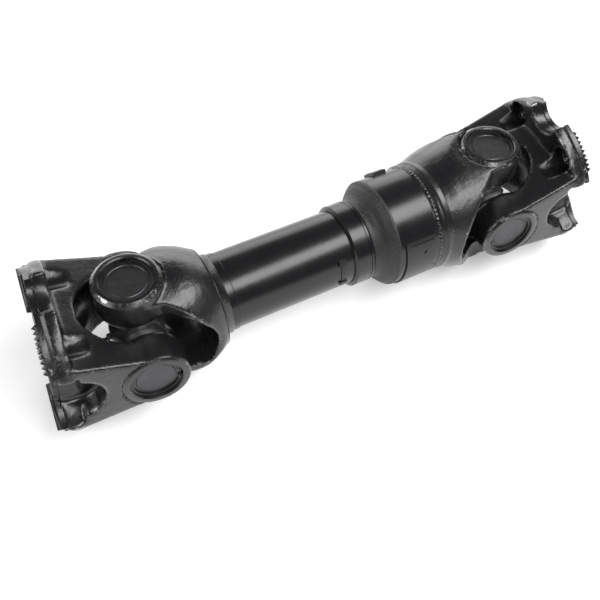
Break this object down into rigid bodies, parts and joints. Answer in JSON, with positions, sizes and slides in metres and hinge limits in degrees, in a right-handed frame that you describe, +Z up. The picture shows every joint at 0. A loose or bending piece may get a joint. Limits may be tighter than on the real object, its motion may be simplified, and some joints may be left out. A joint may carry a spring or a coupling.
{
  "type": "transmission shaft",
  "caption": "Truck cardan shaft with serrated flange yokes, cross-and-bearing universal joints and a splined slip section under a cover tube.",
  "frame": {"origin": "centre of the left flange face, on the axis of its bolt circle", "axes": "+X along the shaft from the left joint to the right joint, +Z up as the shaft lies on the floor, -Y towards the viewer"},
  "size_m": [0.711, 0.1871, 0.1882],
  "materials": {
    "black_paint": "semi-gloss black paint with light orange peel",
    "matt_paint": "matt black coating, lightly speckled",
    "forged_steel": "machined forging, dull",
    "cup_steel": "satin dark steel",
    "bright_steel": "bright turned steel",
    "seal_rubber": "black rubber",
    "washer_plastic": "pale plastic"
  },
  "bodies": {
    "main_half": {"slip_sleeve": "matt_paint", "main_tube": "black_paint", "tube_weld": "matt_paint", "right_tube_yoke": "black_paint", "balance_plate": "black_paint", "balance_weight": "black_paint", "right_top_cup": "cup_steel", "right_top_snap_ring": "bright_steel", "right_top_seal": "seal_rubber", "right_top_rollers": "bright_steel", "right_top_washer": "washer_plastic", "right_bottom_cup": "cup_steel", "right_bottom_snap_ring": "bright_steel", "right_bottom_seal": "seal_rubber", "right_bottom_rollers": "bright_steel", "right_bottom_washer": "washer_plastic"},
    "slip_half": {"left_shaft_yoke": "black_paint", "cover_tube": "black_paint", "cover_ring": "black_paint", "seal_collar": "black_paint", "wiper_seal": "seal_rubber", "tube_clip": "bright_steel", "left_top_cup": "cup_steel", "left_top_snap_ring": "bright_steel", "left_top_seal": "seal_rubber", "left_top_rollers": "bright_steel", "left_top_washer": "washer_plastic", "left_bottom_cup": "cup_steel", "left_bottom_snap_ring": "bright_steel", "left_bottom_seal": "seal_rubber", "left_bottom_rollers": "bright_steel", "left_bottom_washer": "washer_plastic"},
    "left_spider": {"left_cross": "forged_steel", "left_grease_nipple": "bright_steel"},
    "right_spider": {"right_cross": "forged_steel", "right_grease_nipple": "bright_steel"},
    "left_flange": {"left_flange_yoke": "black_paint", "left_near_cup": "cup_steel", "left_near_snap_ring": "bright_steel", "left_near_seal": "seal_rubber", "left_near_rollers": "bright_steel", "left_near_washer": "washer_plastic", "left_far_cup": "cup_steel", "left_far_snap_ring": "bright_steel", "left_far_seal": "seal_rubber", "left_far_rollers": "bright_steel", "left_far_washer": "washer_plastic"},
    "right_flange": {"right_flange_yoke": "black_paint", "right_near_cup": "cup_steel", "right_near_snap_ring": "bright_steel", "right_near_seal": "seal_rubber", "right_near_rollers": "bright_steel", "right_near_washer": "washer_plastic", "right_far_cup": "cup_steel", "right_far_snap_ring": "bright_steel", "right_far_seal": "seal_rubber", "right_far_rollers": "bright_steel", "right_far_washer": "washer_plastic"}
  },
  "joints": [
    {"name": "slip_travel", "type": "slide", "parent": "main_half", "child": "slip_half", "axis": [-1, 0, 0], "range_m": [0, 0.11]},
    {"name": "left_upright_pivot", "type": "hinge", "parent": "slip_half", "child": "left_spider", "pos_m": [0.10371, -0.00907, -0.00911], "axis": [0, 0, 1], "range_deg": [-15, 25]},
    {"name": "left_level_pivot", "type": "hinge", "parent": "left_spider", "child": "left_flange", "pos_m": [0.10371, -0.00907, -0.00911], "axis": [0.0872, 0.9962, 0], "range_deg": [-25, 15]},
    {"name": "right_upright_pivot", "type": "hinge", "parent": "main_half", "child": "right_spider", "pos_m": [0.57171, -0.00907, -0.00911], "axis": [0, 0, 1], "range_deg": [-15, 25]},
    {"name": "right_level_pivot", "type": "hinge", "parent": "right_spider", "child": "right_flange", "pos_m": [0.57171, -0.00907, -0.00911], "axis": [0.0872, 0.9962, 0], "range_deg": [-11, 29]}
  ]
}
